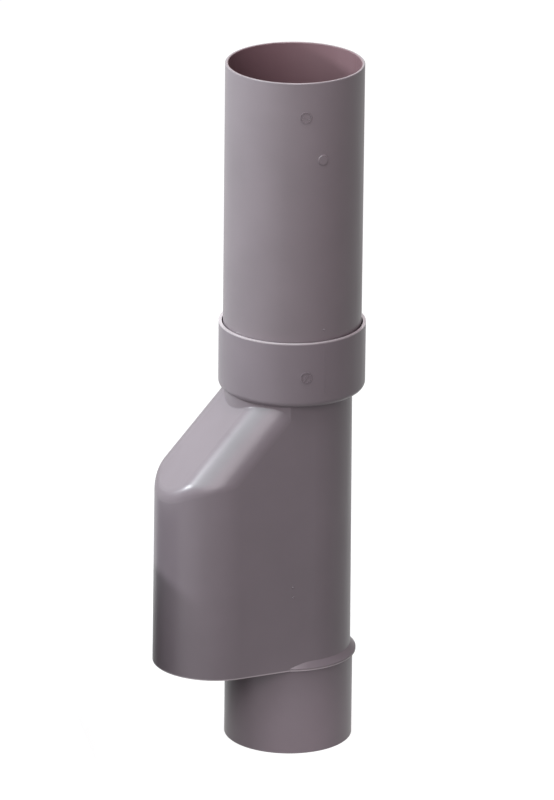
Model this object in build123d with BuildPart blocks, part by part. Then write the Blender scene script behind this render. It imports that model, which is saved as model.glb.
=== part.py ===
from build123d import *
import os
from math import cos, hypot, radians, sin

# A leaf separator for a rainwater downpipe, moulded in PVC. Rain and leaves drop through the sleeve
# into the hood. A sloping sieve turns the leaves out of the hood's open foot and lets the water
# through to the outlet. The origin is the middle of the outlet's foot, +Z is up the pipe, and the
# hood's leaf end lies towards -X.

# Driving dimensions, in millimetres and degrees
pipe_diameter = 80.0        # outside of the downpipe, and of the outlet that goes into the next one
wall = 1.9                  # wall of the mouldings
edge_break = 0.4            # bevel on the open rims

outlet_length = 56.0        # outlet that shows below the hood
lip_stand = 2.0             # the hood's lip stands out this far round the outlet
socket_depth = 1.5          # depth of the socket inside the lip, which takes the outlet's plug
plug_step = 0.5             # the plug is this much smaller in radius than the outlet below it
joint_gap = 0.1             # between plug and socket
tube_gap = 0.9              # between the outlet's inner tube and the hood, at the foot
throat_height = 5.0         # height of the cone between the outlet's bore and its inner tube

hood_half_width = 38.6      # at the foot, where both round ends have this radius
hood_reach = 51.0           # at the foot, from the outlet's axis to the middle of the leaf end
hood_height = 175.0         # from the hood's foot to the underside of the collar
draft = 0.3                 # the hood's walls lean in by this angle, to leave the mould
roof_slope = 47.0           # fall of the roof over the leaf end
roof_drop = 8.4             # from the underside of the collar to the top of the roof
side_round = 22.0           # rounding between roof and sides
side_step = 0.4             # step of the roof's rounded sides out from the flat sides
knee_round = 12.0           # rounding over the leaf end and along that step
neck_radius = 41.5          # outside of the short neck between roof and collar
neck_fillet = 1.2           # hollow rounding between neck and roof

collar_height = 42.2        # outside, with its rounded lower edge
collar_gap = 0.75           # between sleeve and collar
collar_round = 4.0          # rounding of the collar's lower edge
collar_floor = 1.9          # ledge that carries the sleeve

sleeve_gap = 1.1            # between the downpipe and the sleeve that slides over it
sleeve_length = 207.5

sieve_slope = 50.0
sieve_low = 30.0            # lowest edge of the sieve above the hood's foot
sieve_rim = 2.4             # thickness of the sieve's rim, which lies on the inner tube's cut end
skirt_depth = 5.0           # depth of the skirt that plugs into the inner tube
skirt_gap = 0.3             # between skirt and tube
skirt_wall = 1.4
bar_count = 8
bar_width = 2.0
bar_depth = 6.0
bar_round = 0.8             # rounded upper edges of the bars
bar_sink = 0.4              # the bars' tops lie this far below the rim
tie_count = 2               # ties across the back of the bars
tie_depth = 2.4

# Sizes that follow from them
outlet_radius = pipe_diameter / 2
hood_foot = outlet_length
collar_foot = hood_foot + hood_height
sleeve_foot = collar_foot + collar_floor
sleeve_bore = outlet_radius + sleeve_gap
sleeve_radius = sleeve_bore + wall
collar_bore = sleeve_radius + collar_gap
collar_radius = collar_bore + wall
plug_radius = outlet_radius - plug_step
socket_bore = plug_radius + joint_gap
lip_radius = outlet_radius + lip_stand
throat_radius = hood_half_width - wall
tube_radius = throat_radius - tube_gap
shoulder = hood_foot + socket_depth


def slope_plane(angle, x, height):
    """Plane that falls towards -X by an angle, through a point of the middle plane."""
    return Plane(
        origin=(x, 0, height),
        x_dir=(0, 1, 0),
        z_dir=(-sin(radians(angle)), 0, cos(radians(angle))),
    )


def hood_form(inset, top):
    """Outer form of hood and neck up to a height or, with an inset, of the space inside them."""
    with BuildPart() as drafted:
        with BuildSketch(Plane.XY.offset(hood_foot)):
            with Locations((-hood_reach / 2, 0)):
                SlotCenterToCenter(hood_reach, 2 * (hood_half_width - inset))
        extrude(amount=top - hood_foot, taper=draft)
    with BuildPart() as neck:
        add(drafted.part)
        with BuildSketch(Plane.XY.offset(hood_foot)):
            Circle(neck_radius - inset)
        extrude(amount=top - hood_foot, mode=Mode.INTERSECT)
        split(bisect_by=Plane.XY.offset(collar_foot - 2 * side_round), keep=Keep.TOP)
    # a roof of endless length, whose rounded sides stand a step out from the hood's flat ones
    roof_top = collar_foot - roof_drop - inset / cos(radians(roof_slope))
    roof = slope_plane(roof_slope, -neck_radius, roof_top)
    with BuildPart() as endless:
        with BuildSketch(Plane.XY.offset(hood_foot)):
            Rectangle(8 * hood_reach, 2 * (hood_half_width + side_step - inset))
        extrude(amount=top - hood_foot, taper=draft)
        split(bisect_by=roof, keep=Keep.BOTTOM)
        roof_face = endless.faces().filter_by(lambda face: face.normal_at().dot(roof.z_dir) > 0.999)[0]
        fillet(roof_face.edges().sort_by(SortBy.LENGTH)[-2:], radius=side_round - inset)
    # the hood below it, with a tighter rounding along the step and over the leaf end
    with BuildPart() as form:
        add(drafted.part)
        add(endless.part, mode=Mode.INTERSECT)
        cut = new_edges(drafted.part, endless.part, combined=form.part)
        fillet(cut.filter_by(lambda edge: edge.center().Z < roof_top), radius=knee_round - inset)
        add(neck.part)
    return form.part


# the sieve's face lies on the cut end of the outlet's inner tube
sieve_foot = hood_foot + sieve_low
sieve_plane = slope_plane(sieve_slope, -tube_radius, sieve_foot)
sieve_length = 2 * tube_radius / cos(radians(sieve_slope))
tube_top = sieve_foot + (sieve_length + outlet_radius) * sin(radians(sieve_slope))
bar_plane = Plane(
    origin=sieve_plane.origin,
    x_dir=(0, 1, 0),
    z_dir=(cos(radians(sieve_slope)), 0, sin(radians(sieve_slope))),
)


def tube_form(inset):
    """Solid cylinder inside the hood, from the shoulder up, smaller than the inner tube by an inset."""
    with BuildPart() as cylinder:
        with BuildSketch(Plane.XY.offset(shoulder)):
            Circle(tube_radius - inset)
        extrude(amount=tube_top - shoulder)
    return cylinder.part


tube_outside = tube_form(0)
skirt_outside = tube_form(wall + skirt_gap)
skirt_inside = tube_form(wall + skirt_gap + skirt_wall)
bars_outside = tube_form(wall + skirt_gap + skirt_wall / 2)
bar_top = sieve_rim - bar_sink
bar_pitch = 2 * (tube_radius - wall - skirt_gap - skirt_wall) / (bar_count + 1)
hood_outside = hood_form(0, collar_foot + collar_floor / 2)
hood_inside = hood_form(wall, sleeve_foot + wall)

with BuildPart() as upper_sleeve:
    with BuildSketch(Plane.XY.offset(sleeve_foot)):
        Circle(sleeve_radius)
        Circle(sleeve_bore, mode=Mode.SUBTRACT)
    extrude(amount=sleeve_length)
    chamfer(upper_sleeve.edges().filter_by(GeomType.CIRCLE), length=edge_break)
upper_sleeve.part.label = "upper_sleeve"

with BuildPart() as hood:
    add(hood_outside)
    # where the neck meets the roof
    neck_foot = hood.edges().filter_by(
        lambda edge: all(
            abs(hypot(point.X, point.Y) - neck_radius) < 0.01 and point.Z < collar_foot
            for point in edge.positions([0.1, 0.5, 0.9])
        )
    )
    fillet(neck_foot, radius=neck_fillet)
    # the collar, rounded in towards the neck
    with BuildSketch(Plane.XZ):
        with BuildLine():
            Polyline(
                (collar_radius, collar_foot + collar_round),
                (collar_radius, collar_foot + collar_height),
                (0, collar_foot + collar_height),
                (0, collar_foot),
                (collar_radius - collar_round, collar_foot),
            )
            RadiusArc(
                (collar_radius - collar_round, collar_foot),
                (collar_radius, collar_foot + collar_round),
                -collar_round,
            )
        make_face()
    revolve(axis=Axis.Z)
    add(hood_inside, mode=Mode.SUBTRACT)
    with BuildSketch(Plane.XY.offset(sleeve_foot)):
        Circle(collar_bore)
    extrude(amount=collar_height, mode=Mode.SUBTRACT)
    # the lip stands out round the outlet below a sloping edge, and closes the ring inside the hood
    with BuildSketch(Plane.XZ):
        Polygon(
            (throat_radius, hood_foot),
            (lip_radius, hood_foot),
            (lip_radius, shoulder),
            (throat_radius, shoulder + lip_radius - throat_radius),
            align=None,
        )
    revolve(axis=Axis.Z)
    with BuildSketch(Plane.XY.offset(hood_foot)):
        Circle(socket_bore)
    extrude(amount=socket_depth, mode=Mode.SUBTRACT)
hood.part.label = "hood"

with BuildPart() as outlet_pipe:
    add(tube_outside)
    with BuildSketch(Plane.XY):
        Circle(plug_radius)
    extrude(amount=shoulder)
    with BuildSketch(Plane.XY):
        Circle(outlet_radius)
    extrude(amount=hood_foot)
    split(bisect_by=sieve_plane, keep=Keep.BOTTOM)
    # the bore, the throat and the space inside the inner tube
    with BuildSketch(Plane.XZ):
        Polygon(
            (0, 0),
            (outlet_radius - wall, 0),
            (outlet_radius - wall, shoulder - throat_height),
            (tube_radius - wall, shoulder),
            (tube_radius - wall, tube_top),
            (0, tube_top),
            align=None,
        )
    revolve(axis=Axis.Z, mode=Mode.SUBTRACT)
    rims = outlet_pipe.edges().filter_by_position(Axis.Z, 0, 0)
    ledges = outlet_pipe.edges().filter_by_position(Axis.Z, hood_foot, hood_foot)
    chamfer(rims + ledges.sort_by(SortBy.RADIUS)[-1:], length=edge_break)
outlet_pipe.part.label = "outlet_pipe"

# the rim lies on the inner tube's cut end, and the skirt reaches down inside it
with BuildPart() as sieve_ring:
    with BuildSketch(sieve_plane):
        Rectangle(4 * outlet_radius, 8 * outlet_radius)
    extrude(amount=sieve_rim)
    add(tube_outside, mode=Mode.INTERSECT)

with BuildPart() as sieve_skirt:
    with BuildSketch(sieve_plane):
        Rectangle(4 * outlet_radius, 8 * outlet_radius)
    extrude(amount=-skirt_depth)
    add(skirt_outside, mode=Mode.INTERSECT)

# the bars run downhill, with rounded backs, and the ties cross below them
with BuildPart() as sieve_bars:
    with BuildSketch(bar_plane) as bar_ends:
        with GridLocations(bar_pitch, 0, bar_count, 1):
            with Locations((0, bar_top - bar_depth / 2)):
                Rectangle(bar_width, bar_depth)
        fillet(bar_ends.vertices().group_by(Axis.Y)[-1], radius=bar_round)
    extrude(amount=sieve_length)
    with BuildSketch(sieve_plane.offset(bar_top - bar_depth)):
        with Locations((0, -sieve_length / 2)):
            with GridLocations(0, sieve_length / (tie_count + 1), 1, tie_count):
                Rectangle(4 * outlet_radius, bar_width)
    extrude(amount=tie_depth)
    add(bars_outside, mode=Mode.INTERSECT)

with BuildPart() as leaf_sieve:
    add(sieve_ring.part)
    add(sieve_skirt.part)
    add(skirt_inside, mode=Mode.SUBTRACT)
    add(sieve_bars.part)
leaf_sieve.part.label = "leaf_sieve"

os.makedirs("parts", exist_ok=True)
for piece in (upper_sleeve, hood, outlet_pipe, leaf_sieve):
    export_step(piece.part, f"parts/{piece.part.label}.step")
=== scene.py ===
# %% [markdown]
# # A leaf separator for a downpipe
# Rain and leaves drop through the sleeve into the hood, a sloping sieve turns the leaves out of the
# hood's open foot, and the water runs on through the outlet. The shapes come from the CAD model, which
# is loaded as a fixed frame. This lesson gives them their plastic, adds the small marks that moulding
# leaves on such a piece, and sets up the studio. All places are in metres in the CAD model's own frame:
# the origin is the middle of the outlet's foot, +Z is up, and the leaf end lies towards -X.

# %% Load the frame
import math
import bmesh
import bpy
from mathutils import Matrix, Vector


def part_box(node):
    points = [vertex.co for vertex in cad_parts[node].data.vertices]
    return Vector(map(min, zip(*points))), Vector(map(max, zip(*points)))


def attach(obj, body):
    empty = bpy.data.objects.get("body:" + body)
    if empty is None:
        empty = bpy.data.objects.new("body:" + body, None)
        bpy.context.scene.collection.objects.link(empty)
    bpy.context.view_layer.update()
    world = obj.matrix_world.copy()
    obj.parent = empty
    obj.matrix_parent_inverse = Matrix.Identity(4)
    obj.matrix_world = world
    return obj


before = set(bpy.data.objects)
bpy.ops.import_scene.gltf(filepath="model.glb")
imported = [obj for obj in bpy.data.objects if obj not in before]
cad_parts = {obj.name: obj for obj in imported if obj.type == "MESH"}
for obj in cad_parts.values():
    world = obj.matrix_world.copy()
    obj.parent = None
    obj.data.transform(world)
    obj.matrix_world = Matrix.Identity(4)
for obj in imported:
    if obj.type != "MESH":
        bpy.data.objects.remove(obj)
bpy.context.view_layer.update()
print("CAD nodes:", sorted(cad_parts))

# %% [markdown]
# ## Sizes
# The sizes that the marks need are read from the frame, so they stay right if the CAD model changes. A
# millimetre is named once, because the small marks are easier to think of in millimetres.

# %% Read the sizes
MM = 0.001
sleeve_low, sleeve_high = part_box("upper_sleeve")
hood_low, hood_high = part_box("hood")
sleeve_radius = sleeve_high.x
collar_radius = hood_high.x
print(f"sleeve {2 * sleeve_radius / MM:.1f} mm across, collar {2 * collar_radius / MM:.1f} mm")

# %% [markdown]
# ## Colours
# Hex colours are sRGB, as a colour picker shows them. Blender's shaders work in linear light, so one
# function turns each colour.


# %% Turn sRGB hex to linear
def linear(hex_colour):
    """An sRGB colour such as "#7c7176" as linear red, green, blue and an alpha of 1."""
    values = [int(hex_colour[i:i + 2], 16) / 255 for i in (1, 3, 5)]
    return [v / 12.92 if v <= 0.04045 else ((v + 0.055) / 1.055) ** 2.4 for v in values] + [1.0]


WHITE = linear("#ffffff")
print("white is", WHITE)

# %% [markdown]
# ## Materials from nodes
# A material is a small network. One function makes an empty one. The other adds a node, sets its fields
# and its sockets, and links the sockets whose value is an output of another node. With these two, each
# material below reads as a list of what feeds what.


# %% Make a material and add its nodes
def empty_material(name):
    """A material without nodes, and its node tree."""
    material = bpy.data.materials.new(name)
    material.use_nodes = True
    material.node_tree.nodes.clear()
    return material, material.node_tree


def add_node(tree, kind, sockets=None, **fields):
    """Adds a node. Sockets are given by name or number, as a constant or as an output to link."""
    node = tree.nodes.new(kind)
    for name, value in fields.items():
        setattr(node, name, value)
    for name, value in (sockets or {}).items():
        if isinstance(value, bpy.types.NodeSocket):
            tree.links.new(value, node.inputs[name])
        else:
            node.inputs[name].default_value = value
    return node


# %% [markdown]
# ## Moulded PVC
# The pieces are rigid PVC, coloured through and injection-moulded in polished steel, as rainwater goods
# are. It gives the eye a warm grey with a satin gloss: lamps leave a soft bright patch, and the edges of
# round walls catch the white room. Its index of refraction is 1.53. Three things keep it from looking
# like paint. The pigment is never quite even, which shows as soft clouds. The melt leaves faint streaks
# along its flow, here up and down the pipe, which change the gloss a little. And the steel's own polish
# is copied as a very shallow ripple. Its real pitch is some tenths of a millimetre, which is too fine to
# show here, so it is drawn 1.5 mm long. Noise in the piece's own space makes all three, because it needs
# no unwrapping and leaves no seam.

# %% Name the plastic's values
PVC_IOR = 1.53
PVC_ROUGHNESS = 0.34
CLOUD_SIZE = 45 * MM
CLOUD_SHADE = 0.05
STREAK_WIDTH = 7 * MM
STREAK_STRETCH = 0.12
STREAK_GLOSS = 0.03
RIPPLE_SIZE = 1.5 * MM
RIPPLE_DEPTH = 0.004 * MM
NOISE_LOW = 0.3
NOISE_HIGH = 0.7
PIGMENTS = {
    "upper_sleeve": "#7e7278",
    "hood": "#7c7077",
    "outlet_pipe": "#7c7077",
    "leaf_sieve": "#786c72",
}
print(f"streaks {STREAK_WIDTH / MM:.0f} mm wide and {STREAK_WIDTH / STREAK_STRETCH / MM:.0f} mm long")

# %% [markdown]
# ### Pale rims: painted highlight and scuffs
# The hood's rims, at the collar's top and at the foot, show as a pale line. A real rim gets one from its
# slightly rounded edge, which catches the lamps, and from the scuffs of trimming and stacking. The CAD
# model leaves these two edges sharp, so the line is painted: a paler colour, part painted highlight and
# part scuff, is mixed in by the height above or below the rim, and is gone within a millimetre.

# %% Paint the pale rims
# The rims' paler colour: a painted highlight, with some scuffing, along the hood's rims.
RIM_HIGHLIGHT_AND_SCUFF = "#bcb0b5"
RIM_HIGHLIGHT_REACH = (0.3 * MM, 0.9 * MM)
RIMS = {"hood": [hood_high.z, hood_low.z]}


def paint_rim_highlights(tree, place, colour, rims):
    """Mixes the paler tone, a painted highlight with scuffs, into a colour near these heights."""
    height = add_node(tree, "ShaderNodeSeparateXYZ", {"Vector": place}).outputs["Z"]
    for rim in rims:
        above = add_node(tree, "ShaderNodeMath", {0: height, 1: rim}, operation="SUBTRACT")
        away = add_node(tree, "ShaderNodeMath", {0: above.outputs["Value"]}, operation="ABSOLUTE")
        highlight_mask = add_node(
            tree, "ShaderNodeMapRange",
            {
                "Value": away.outputs["Value"], "From Min": RIM_HIGHLIGHT_REACH[0], "From Max": RIM_HIGHLIGHT_REACH[1],
                "To Min": 1.0, "To Max": 0.0,
            },
        )
        colour = add_node(
            tree, "ShaderNodeMixRGB",
            {"Fac": highlight_mask.outputs["Result"], "Color1": colour, "Color2": linear(RIM_HIGHLIGHT_AND_SCUFF)},
        ).outputs["Color"]
    return colour


print("pale rims at", [f"{rim / MM:.1f} mm" for rim in RIMS["hood"]])

# %% [markdown]
# ### The bore's painted shade
# The inside of the sleeve looks deeper and redder than its outside. In a real tube the light bounces from
# wall to wall and takes on more of the plastic's colour each time. The lamps here show that too weakly,
# so the inner wall gets painted shade: a darker, redder colour in place of the pigment. Its faces could
# carry another material, but the distance from the pipe's axis tells inside from outside as well, and it
# leaves the mesh alone. The limit lies within the wall, 1.2 mm below the outer face.

# %% Paint the bore
# The colour of the painted shade inside the sleeve.
BORE_SHADE = "#74595f"
SKIN = 1.2 * MM
BORES = {"upper_sleeve": sleeve_radius - SKIN}


def paint_bore_shade(tree, place, colour, bore):
    """Replaces a colour by the bore's painted shade within this radius of the axis."""
    across = add_node(
        tree, "ShaderNodeVectorMath", {0: place, 1: (1.0, 1.0, 0.0)}, operation="MULTIPLY",
    )
    radius = add_node(
        tree, "ShaderNodeVectorMath", {0: across.outputs["Vector"]}, operation="LENGTH",
    )
    inside = add_node(
        tree, "ShaderNodeMath", {0: radius.outputs["Value"], 1: bore}, operation="LESS_THAN",
    )
    return add_node(
        tree, "ShaderNodeMixRGB",
        {"Fac": inside.outputs["Value"], "Color1": colour, "Color2": linear(BORE_SHADE)},
    ).outputs["Color"]


print(f"the sleeve's tone is deeper within {BORES['upper_sleeve'] / MM:.1f} mm of its axis")

# %% [markdown]
# ### Clouds and streaks
# The clouds make the pigment up to 5 % lighter or darker, and the streaks make the roughness a little
# higher or lower. Each is one noise texture whose middle range is mapped onto those limits. The streaks'
# noise is stretched along the flow by scaling the height before it.


# %% Draw the clouds and streaks
def pvc_colour(tree, place, pigment):
    """The pigment with its soft clouds."""
    clouds = add_node(
        tree, "ShaderNodeTexNoise",
        {"Vector": place, "Scale": 1 / CLOUD_SIZE, "Detail": 3.0, "Roughness": 0.5},
    )
    shade = add_node(
        tree, "ShaderNodeMapRange",
        {
            "Value": clouds.outputs["Fac"], "From Min": NOISE_LOW, "From Max": NOISE_HIGH,
            "To Min": 1 - CLOUD_SHADE, "To Max": 1 + CLOUD_SHADE,
        },
    )
    return add_node(
        tree, "ShaderNodeVectorMath",
        {0: linear(pigment)[:3], "Scale": shade.outputs["Result"]}, operation="SCALE",
    ).outputs["Vector"]


def pvc_gloss(tree, place):
    """The roughness with its streaks along the flow."""
    along_flow = add_node(
        tree, "ShaderNodeVectorMath", {0: place, 1: (1.0, 1.0, STREAK_STRETCH)}, operation="MULTIPLY",
    )
    streaks = add_node(
        tree, "ShaderNodeTexNoise",
        {"Vector": along_flow.outputs["Vector"], "Scale": 1 / STREAK_WIDTH, "Detail": 2.0},
    )
    return add_node(
        tree, "ShaderNodeMapRange",
        {
            "Value": streaks.outputs["Fac"], "From Min": NOISE_LOW, "From Max": NOISE_HIGH,
            "To Min": PVC_ROUGHNESS - STREAK_GLOSS, "To Max": PVC_ROUGHNESS + STREAK_GLOSS,
        },
    ).outputs["Result"]


# %% [markdown]
# ### The whole plastic
# Mouldings from different batches differ a little in pigment. One function therefore makes the plastic of
# any pigment, and each piece gets its own.


# %% Make the plastic
def moulded_pvc(name, pigment, rims, bore):
    """PVC of one pigment, with painted rim highlights and scuffs at these heights and painted shade in a
    bore of this radius.
    """
    material, tree = empty_material(name)
    place = add_node(tree, "ShaderNodeTexCoord").outputs["Object"]
    colour = pvc_colour(tree, place, pigment)
    # The bore's painted shade and the rims' painted highlight are mixed into the pigment here.
    if bore > 0:
        colour = paint_bore_shade(tree, place, colour, bore)
    colour = paint_rim_highlights(tree, place, colour, rims)
    ripple = add_node(
        tree, "ShaderNodeTexNoise", {"Vector": place, "Scale": 1 / RIPPLE_SIZE, "Detail": 1.0},
    )
    bump = add_node(
        tree, "ShaderNodeBump",
        {"Height": ripple.outputs["Fac"], "Distance": RIPPLE_DEPTH, "Strength": 1.0},
    )
    surface = add_node(
        tree, "ShaderNodeBsdfPrincipled",
        {
            "Base Color": colour, "Roughness": pvc_gloss(tree, place),
            "IOR": PVC_IOR, "Normal": bump.outputs["Normal"],
        },
    )
    add_node(tree, "ShaderNodeOutputMaterial", {"Surface": surface.outputs["BSDF"]})
    return material


for node_name, pigment in PIGMENTS.items():
    rims = RIMS.get(node_name, [])
    bore = BORES.get(node_name, 0.0)
    material = moulded_pvc(f"moulded_pvc_{node_name}", pigment, rims, bore)
    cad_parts[node_name].material_slots[0].material = material
    print(node_name, "is PVC of", pigment)

# %% [markdown]
# ## New objects
# Blender keeps what an object is, such as a mesh, a lamp or a camera, apart from where it stands. So each
# new thing takes two steps: an object is made for its data, and is linked to the scene.


# %% Put new things in the scene
def link_new(name, data):
    """Makes an object of some data and puts it in the scene."""
    made = bpy.data.objects.new(name, data)
    bpy.context.scene.collection.objects.link(made)
    return made


# %% [markdown]
# ## Marks that the mould leaves
# Close up, a moulded pipe shows where the plastic went in and how it was pushed out. The gate leaves a
# round stub, the ejector pins leave two small pips, and a dial with twelve ticks and a pointer is where
# a mould shows its month. They are raised a fraction of a millimetre. A bump map could hint at them, but
# their edges catch the light, so they are real geometry: flat shapes with slanted sides, drawn on a
# sheet, which is then wrapped on the wall. Lengths on the sheet are in millimetres.


# %% Draw raised shapes on a sheet
def circle(centre, radius, segments):
    """Points round a circle, anticlockwise."""
    angles = [2 * math.pi * i / segments for i in range(segments)]
    return [(centre[0] + radius * math.cos(a), centre[1] + radius * math.sin(a)) for a in angles]


class Sheet:
    """Raised shapes with slanted sides on a flat sheet, with x to the right, y up and z out, in mm."""

    def __init__(self, height, bevel, sink=0.15):
        self.mesh = bmesh.new()
        self.height = height
        self.bevel = bevel
        self.sink = sink

    def corners(self, outline, level):
        """A closed row of corners at one level."""
        return [self.mesh.verts.new((x, y, level)) for x, y in outline]

    def sides(self, low, high):
        """The faces between two closed rows of corners."""
        for i in range(len(low)):
            j = (i + 1) % len(low)
            self.mesh.faces.new((low[i], low[j], high[j], high[i]))

    def ring(self, centre, inner, outer, segments=48):
        """A round band, or a disc where the inner radius is 0."""
        profile = [(outer + self.bevel, -self.sink), (outer, self.height)]
        if inner > 0:
            profile += [(inner, self.height), (inner - self.bevel, -self.sink)]
        else:
            profile += [(0.5 * outer, self.height)]
        rows = [self.corners(circle(centre, radius, segments), level) for radius, level in profile]
        for low, high in zip(rows, rows[1:]):
            self.sides(low, high)
        if inner <= 0:
            self.mesh.faces.new(rows[-1])

    def plate(self, outline):
        """A flat shape with this outline, given anticlockwise."""
        middle = [sum(p[k] for p in outline) / len(outline) for k in (0, 1)]
        size = max(math.dist(p, middle) for p in outline)
        grow = 1 + self.bevel / size
        foot = [[middle[k] + (p[k] - middle[k]) * grow for k in (0, 1)] for p in outline]
        low = self.corners(foot, -self.sink)
        high = self.corners(outline, self.height)
        self.sides(low, high)
        self.mesh.faces.new(high)

    def bar(self, start, end, width):
        """A straight bar between two points."""
        along = Vector(end) - Vector(start)
        side = Vector((-along.y, along.x)).normalized() * width / 2
        self.plate([
            tuple(Vector(start) - side), tuple(Vector(end) - side),
            tuple(Vector(end) + side), tuple(Vector(start) + side),
        ])

    def wrap(self, name, radius, turn, height, material):
        """Wraps the sheet on a pipe. Turn is the angle round the pipe from -Y to +X."""
        for vertex in self.mesh.verts:
            x, y, out = vertex.co
            angle = turn + x * MM / radius
            reach = radius + out * MM
            vertex.co = (reach * math.sin(angle), -reach * math.cos(angle), height + y * MM)
        return self.finish(name, material)

    def lay(self, name, origin, material):
        """Lays the sheet on a wall that faces -Y."""
        for vertex in self.mesh.verts:
            x, y, out = vertex.co
            vertex.co = (origin[0] + x * MM, origin[1] - out * MM, origin[2] + y * MM)
        return self.finish(name, material)

    def finish(self, name, material):
        """Makes the piece, which rides on the part's one body."""
        data = bpy.data.meshes.new(name)
        self.mesh.to_mesh(data)
        self.mesh.free()
        data.materials.append(material)
        piece = link_new(name, data)
        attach(piece, "root")
        print(name, "has", len(data.polygons), "faces")
        return piece


# %% [markdown]
# ### The gate's stub
# The sleeve was filled through one gate on its side. The stub is a low disc whose foot is 7 mm across.
# Lower down sits a small speck, where a grain of cold plastic froze on the wall. Both are discs on a
# sheet, which follow the sleeve's curve.

# %% Make the gate's stub and the speck
STUB_RADIUS = 3.0
STUB_ABOVE_MIDDLE = 54 * MM
SPECK_RADIUS = 0.45
SPECK_TURN = math.radians(2.8)
SPECK_ABOVE_FOOT = 47.5 * MM
sleeve_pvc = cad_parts["upper_sleeve"].material_slots[0].material

stub_height = (sleeve_low.z + sleeve_high.z) / 2 + STUB_ABOVE_MIDDLE
gate = Sheet(height=0.55, bevel=0.45)
gate.ring((0, 0), 0, STUB_RADIUS)
gate_stub = gate.wrap("sleeve_gate_stub", sleeve_radius, 0.0, stub_height, sleeve_pvc)

speck_height = sleeve_low.z + SPECK_ABOVE_FOOT
grain = Sheet(height=0.3, bevel=0.25)
grain.ring((0, 0), 0, SPECK_RADIUS, segments=16)
speck = grain.wrap("sleeve_speck", sleeve_radius, SPECK_TURN, speck_height, sleeve_pvc)

# %% [markdown]
# ### The mould's dials
# Both mouldings carry one: a ring, twelve ticks and a pointer. In the mould it is a round steel insert
# that is turned each month, so one function draws it, and the two differ in where the pointer stands.

# %% Draw a dial
DIAL_RADIUS = 3.6
DIAL_LINE = 0.4
TICK_ENDS = (2.5, 3.0)
TICK_WIDTH = 0.3
MONTHS = 12
POINTER_LENGTH = 2.0
POINTER_TAIL = 0.8
POINTER_WIDENING = 0.28


def mould_dial(name, radius, turn, height, month, material):
    """A dial whose pointer stands at a month."""
    dial = Sheet(height=0.45, bevel=0.12)
    dial.ring((0, 0), DIAL_RADIUS - DIAL_LINE, DIAL_RADIUS)
    for i in range(MONTHS):
        angle = 2 * math.pi * i / MONTHS
        ends = [(r * math.cos(angle), r * math.sin(angle)) for r in TICK_ENDS]
        dial.bar(*ends, TICK_WIDTH)
    angle = math.pi / 2 - 2 * math.pi * month / MONTHS
    tip = Vector((math.cos(angle), math.sin(angle))) * POINTER_LENGTH
    side = Vector((-tip.y, tip.x)) * POINTER_WIDENING
    tail = tip * POINTER_TAIL
    dial.plate([tuple(tip), tuple(side - tail), tuple(-side - tail)])
    return dial.wrap(name, radius, turn, height, material)


# %% [markdown]
# ### Where the dials sit
# Each dial sits about 22 mm below a rim, a little to the left of the pipe's front. Its place is counted
# from the rim, so it moves along if the sleeve or the collar gets longer.

# %% Make the dials
SLEEVE_DIAL_TURN = math.radians(-15)
SLEEVE_DIAL_DROP = 21.8 * MM
COLLAR_DIAL_TURN = math.radians(-13)
COLLAR_DIAL_DROP = 22 * MM
hood_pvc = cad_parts["hood"].material_slots[0].material

dial_height = sleeve_high.z - SLEEVE_DIAL_DROP
sleeve_dial = mould_dial(
    "sleeve_mould_dial", sleeve_radius, SLEEVE_DIAL_TURN, dial_height, month=4, material=sleeve_pvc,
)

dial_height = hood_high.z - COLLAR_DIAL_DROP
collar_dial = mould_dial(
    "collar_mould_dial", collar_radius, COLLAR_DIAL_TURN, dial_height, month=7, material=hood_pvc,
)

# %% [markdown]
# ### Ejector marks
# Two ejector pins left pips on the hood's flat side. They could be placed by the hood's sizes, but its
# walls lean, so a ray from outside finds the place where it meets the wall.

# %% Make the pips
PIP_RADIUS = 0.5
PIP_PLACES = ((-14.7 * MM, 111.4 * MM), (-14.6 * MM, 104.8 * MM))


def wall_place(node, x, z):
    """The place on a node's front wall, met by a ray that starts a metre in front and runs towards +Y."""
    return node.ray_cast(Vector((x, -1.0, z)), Vector((0.0, 1.0, 0.0)))[1]


for number, (x, z) in enumerate(PIP_PLACES, start=1):
    pip = Sheet(height=0.3, bevel=0.3)
    pip.ring((0, 0), 0, PIP_RADIUS, segments=16)
    pip_piece = pip.lay(f"hood_pip_{number}", wall_place(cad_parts["hood"], x, z), hood_pvc)

# %% [markdown]
# ### The weld line
# Up the collar runs the faint line where two fronts of the melt met. It stands out by less than a tenth
# of a millimetre. It is drawn as a row of short flat bars, because a plate's foot grows in proportion to
# the distance from its middle, which would leave the long sides of a single bar almost upright.

# %% Make the weld line
WELD_HALF_LENGTH = 15
WELD_BAR_LENGTH = 3
WELD_WIDTH = 0.5
WELD_TURN = math.radians(2.4)
WELD_DROP = 18.2 * MM

weld = Sheet(height=0.07, bevel=0.25)
for level in range(-WELD_HALF_LENGTH, WELD_HALF_LENGTH, WELD_BAR_LENGTH):
    weld.bar((0, level), (0, level + WELD_BAR_LENGTH), WELD_WIDTH)
weld_height = hood_high.z - WELD_DROP
weld_line = weld.wrap("collar_weld_line", collar_radius, WELD_TURN, weld_height, hood_pvc)

# %% [markdown]
# ## The paper
# The product stands on a sheet of matt paper. The Light Path node tells which rays come straight from
# the camera, and for those the paper glows almost white, so that the ground reads as a plain white page.
# To the lamps it is mid grey, so it takes the object's shadow and throws little light up from below. The
# plastic mirrors it as a paler sheet with one dark patch on it, behind on the left, which is a painted
# reflection: it draws the dark band low on the hull. The patch could be a cloth object, but only its
# mirror image is wanted, so it is painted into what the plastic mirrors and nothing stands there.

# %% Make the paper
PAPER = "#7c7c7c"
PAPER_GLOW = 0.93
PAPER_MIRRORED = 0.70
# Where the dark patch lies: a painted reflection, seen only in the plastic's gloss.
DARK_REFLECTION_PLACE = (-0.25, 0.13, 0.0)
DARK_REFLECTION_REACH = (0.10, 0.24)

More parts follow.
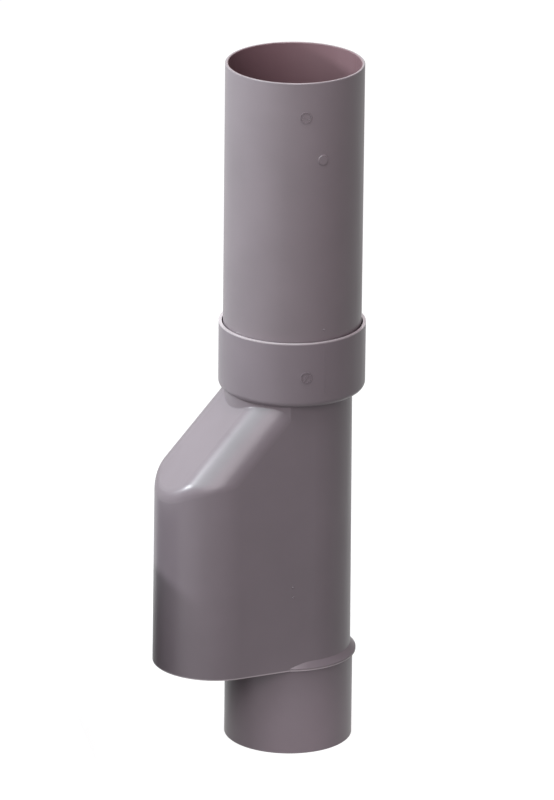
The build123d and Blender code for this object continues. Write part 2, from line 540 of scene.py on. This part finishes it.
paper, tree = empty_material("matt_paper")
ray = add_node(tree, "ShaderNodeLightPath")
place = add_node(tree, "ShaderNodeTexCoord").outputs["Object"]
away = add_node(tree, "ShaderNodeVectorMath", {0: place, 1: DARK_REFLECTION_PLACE}, operation="DISTANCE")
beside_dark_reflection = add_node(
    tree, "ShaderNodeMapRange",
    {
        "Value": away.outputs["Value"], "From Min": DARK_REFLECTION_REACH[0], "From Max": DARK_REFLECTION_REACH[1],
        "To Max": PAPER_MIRRORED,
    },
    interpolation_type="SMOOTHSTEP",
)
mirrored = add_node(
    tree, "ShaderNodeMath",
    {0: ray.outputs["Is Glossy Ray"], 1: beside_dark_reflection.outputs["Result"]}, operation="MULTIPLY",
)
direct = add_node(
    tree, "ShaderNodeMath",
    {0: ray.outputs["Is Camera Ray"], 1: ray.outputs["Is Transmission Ray"]}, operation="MAXIMUM",
)
strength = add_node(
    tree, "ShaderNodeMath",
    {0: direct.outputs["Value"], 1: PAPER_GLOW, 2: mirrored.outputs["Value"]}, operation="MULTIPLY_ADD",
)
matt = add_node(tree, "ShaderNodeBsdfDiffuse", {"Color": linear(PAPER)})
glow = add_node(tree, "ShaderNodeEmission", {"Color": WHITE, "Strength": strength.outputs["Value"]})
both = add_node(tree, "ShaderNodeAddShader", {0: matt.outputs["BSDF"], 1: glow.outputs["Emission"]})
add_node(tree, "ShaderNodeOutputMaterial", {"Surface": both.outputs["Shader"]})
print("the paper glows with a strength of", PAPER_GLOW, "for the camera")

# %% [markdown]
# ## The floor
# The paper is a single face, wide enough to fill the picture from any side above it. It lies a hair
# below the outlet's foot, so that the two surfaces don't fight for the same place.

# %% Lay the floor
HALF_FLOOR = 4.0
FLOOR_DROP = 0.05 * MM

floor_data = bpy.data.meshes.new("floor")
floor_corners = [(HALF_FLOOR * x, HALF_FLOOR * y, 0) for x, y in ((-1, -1), (1, -1), (1, 1), (-1, 1))]
floor_data.from_pydata(floor_corners, [], [(0, 1, 2, 3)])
floor_data.materials.append(paper)
floor = link_new("floor", floor_data)
floor.location.z = -FLOOR_DROP
print("the floor is", 2 * HALF_FLOOR, "m wide")

# %% [markdown]
# ## The room
# The camera sees a white room. The gloss of the plastic mirrors it at a little over half that level, as
# it would the cloth of a light tent, so the edges of the round walls turn pale. The light that the room
# adds to the matt part of the colour is weak and a little warm, so the lamps do the modelling.

# %% Light the room
ROOM_LEVEL = 0.11
ROOM_TINT = "#fff2f2"
MIRRORED_LEVEL = 0.60

world = bpy.data.worlds.new("room")
bpy.context.scene.world = world
world.use_nodes = True
tree = world.node_tree
tree.nodes.clear()
ray = add_node(tree, "ShaderNodeLightPath")
direct = add_node(
    tree, "ShaderNodeMath",
    {0: ray.outputs["Is Camera Ray"], 1: ray.outputs["Is Glossy Ray"]}, operation="MAXIMUM",
)
seen = add_node(
    tree, "ShaderNodeMath",
    {0: direct.outputs["Value"], 1: ray.outputs["Is Transmission Ray"]}, operation="MAXIMUM",
)
white_level = add_node(
    tree, "ShaderNodeMapRange",
    {"Value": ray.outputs["Is Glossy Ray"], "To Min": 1.0, "To Max": MIRRORED_LEVEL},
)
dim = add_node(tree, "ShaderNodeBackground", {"Color": linear(ROOM_TINT), "Strength": ROOM_LEVEL})
white = add_node(
    tree, "ShaderNodeBackground", {"Color": WHITE, "Strength": white_level.outputs["Result"]},
)
room = add_node(
    tree, "ShaderNodeMixShader",
    {0: seen.outputs["Value"], 1: dim.outputs["Background"], 2: white.outputs["Background"]},
)
add_node(tree, "ShaderNodeOutputWorld", {"Surface": room.outputs["Shader"]})
print("the room lights the object with a strength of", ROOM_LEVEL)

# %% [markdown]
# ## Camera
# A long lens from well above. Its place, direction and focal length come from matching the outlines of
# the rims, the collar, the hood's foot and the outlet. The roll is the small lean of the picture.

# %% Place the camera
CAMERA_PLACE = Vector((-2.237, -4.935, 2.165))
CAMERA_HEADING = math.radians(24.29)
CAMERA_PITCH = math.radians(19.742)
CAMERA_ROLL = math.radians(0.619)
LENS = 417.1
SENSOR_WIDTH = 36.0
FARTHEST_SEEN = 50.0

forward = Vector((
    math.sin(CAMERA_HEADING) * math.cos(CAMERA_PITCH),
    math.cos(CAMERA_HEADING) * math.cos(CAMERA_PITCH),
    -math.sin(CAMERA_PITCH),
))
level_right = forward.cross(Vector((0, 0, 1))).normalized()
level_up = level_right.cross(forward)
right = level_right * math.cos(CAMERA_ROLL) + level_up * math.sin(CAMERA_ROLL)
up = level_up * math.cos(CAMERA_ROLL) - level_right * math.sin(CAMERA_ROLL)
camera_data = bpy.data.cameras.new("camera")
camera_data.lens = LENS
camera_data.sensor_width = SENSOR_WIDTH
camera_data.clip_end = FARTHEST_SEEN
camera = link_new("camera", camera_data)
camera.matrix_world = Matrix((
    (right.x, up.x, -forward.x, CAMERA_PLACE.x),
    (right.y, up.y, -forward.y, CAMERA_PLACE.y),
    (right.z, up.z, -forward.z, CAMERA_PLACE.z),
    (0, 0, 0, 1),
))
bpy.context.scene.camera = camera
print(f"the camera stands {CAMERA_PLACE.length:.2f} m from the outlet's foot")

# %% [markdown]
# ## Lamps
# A photographer sets a lamp by how far round and how far up it stands. The function below takes it the
# same way: the swing to the right of the camera, the rise above the point it looks at, and the distance
# from there.


# %% Define the lamps
def lamp_at(name, kind, swing, rise, distance, power, colour, aim):
    """A lamp that looks at a point. Swing and rise are in degrees, distance in metres, power in watts."""
    angle = -math.pi / 2 - CAMERA_HEADING + math.radians(swing)
    direction = Vector((
        math.cos(angle) * math.cos(math.radians(rise)),
        math.sin(angle) * math.cos(math.radians(rise)),
        math.sin(math.radians(rise)),
    ))
    data = bpy.data.lights.new(name, kind)
    data.energy = power
    data.color = linear(colour)[:3]
    lamp = link_new(name, data)
    lamp.location = Vector(aim) + direction * distance
    lamp.rotation_euler = (-direction).to_track_quat("-Z", "Y").to_euler()
    print(f"{name}: {power} W at {distance} m")
    return data


def soft_box(name, swing, rise, distance, size, power, colour, aim):
    """A square area lamp, with the length of its sides in metres."""
    lamp_at(name, "AREA", swing, rise, distance, power, colour, aim).size = size


# %% [markdown]
# ### Soft boxes
# One large box stands near, up on the left. It makes the roof the brightest face and leaves the flat
# side in half shade. A small box on the left gives the knee of the roof its compact gleam. A wide panel
# in front fills the shade, and one behind on the left draws the hull's far edge. The rims mirror a panel
# behind the object and one overhead. Most are broad, because round walls mirror a small lamp as a hard
# streak.

# %% Place the soft boxes
soft_box("key_box", -64, 41, 0.62, size=0.64, power=4.0, colour="#e2fffa", aim=(0, 0, 0.38))
soft_box("knee_box", -95, 28, 0.90, size=0.10, power=5.6, colour="#f4fbff", aim=(-0.06, 0, 0.20))
soft_box("front_panel", -16, 28, 1.40, size=0.80, power=8.2, colour="#fffafd", aim=(0, 0, 0.20))
soft_box("edge_panel", -140, 20, 1.60, size=0.90, power=3.0, colour="#fcfcff", aim=(0, 0, 0.33))
soft_box("rim_panel", 180, 28, 1.50, size=1.20, power=7.0, colour="#fff8fb", aim=(0, 0, 0.33))
soft_box("top_panel", 10, 70, 0.90, size=0.36, power=2.8, colour="#fff8fc", aim=(0, 0, 0.28))

# %% [markdown]
# ### A lamp with a snoot
# The hood shades the outlet's foot. A snoot is a short tube on a lamp, which keeps its light to a small
# round patch, so this one lifts the foot alone. A soft box near the floor would lift it too, but the
# walls above would mirror it.

# %% Place the lamp with the snoot
SNOOT_ANGLE = math.radians(7)
SNOOT_LAMP_RADIUS = 0.03

snoot = lamp_at("foot_snoot", "SPOT", 16, 25, 1.00, power=13.0, colour="#fffafd", aim=(0, 0, -0.015))
snoot.spot_size = SNOOT_ANGLE
snoot.spot_blend = 1.0
snoot.shadow_soft_size = SNOOT_LAMP_RADIUS

# %% [markdown]
# ### A dark card
# A card of matt black paper stands beside the hull, out of the camera's sight, and keeps the soft box
# off its lower end. Moving the lamp would darken the roof as well, and a card shades only one place.

# %% Place the card
CARD_NEAR = Vector((-0.135, -0.012))
CARD_FAR = Vector((-0.112, 0.078))
CARD_TOP = 0.148
CARD_BLACK = "#1c1a1b"
CARD_ROUGHNESS = 0.9

black_card, tree = empty_material("black_card")
surface = add_node(
    tree, "ShaderNodeBsdfPrincipled",
    {"Base Color": linear(CARD_BLACK), "Roughness": CARD_ROUGHNESS},
)
add_node(tree, "ShaderNodeOutputMaterial", {"Surface": surface.outputs["BSDF"]})
card_data = bpy.data.meshes.new("dark_card")
card_corners = [(*CARD_NEAR, 0.0), (*CARD_FAR, 0.0), (*CARD_FAR, CARD_TOP), (*CARD_NEAR, CARD_TOP)]
card_data.from_pydata(card_corners, [], [(0, 1, 2, 3)])
card_data.materials.append(black_card)
card = link_new("dark_card", card_data)
card.visible_camera = False
print(f"the card is {(CARD_FAR - CARD_NEAR).length / MM:.0f} mm wide and {CARD_TOP / MM:.0f} mm high")

# %% [markdown]
# ## Finish
# The standard view transform shows colours as they were picked.

bpy.context.scene.view_settings.view_transform = "Standard"
bpy.context.view_layer.update()
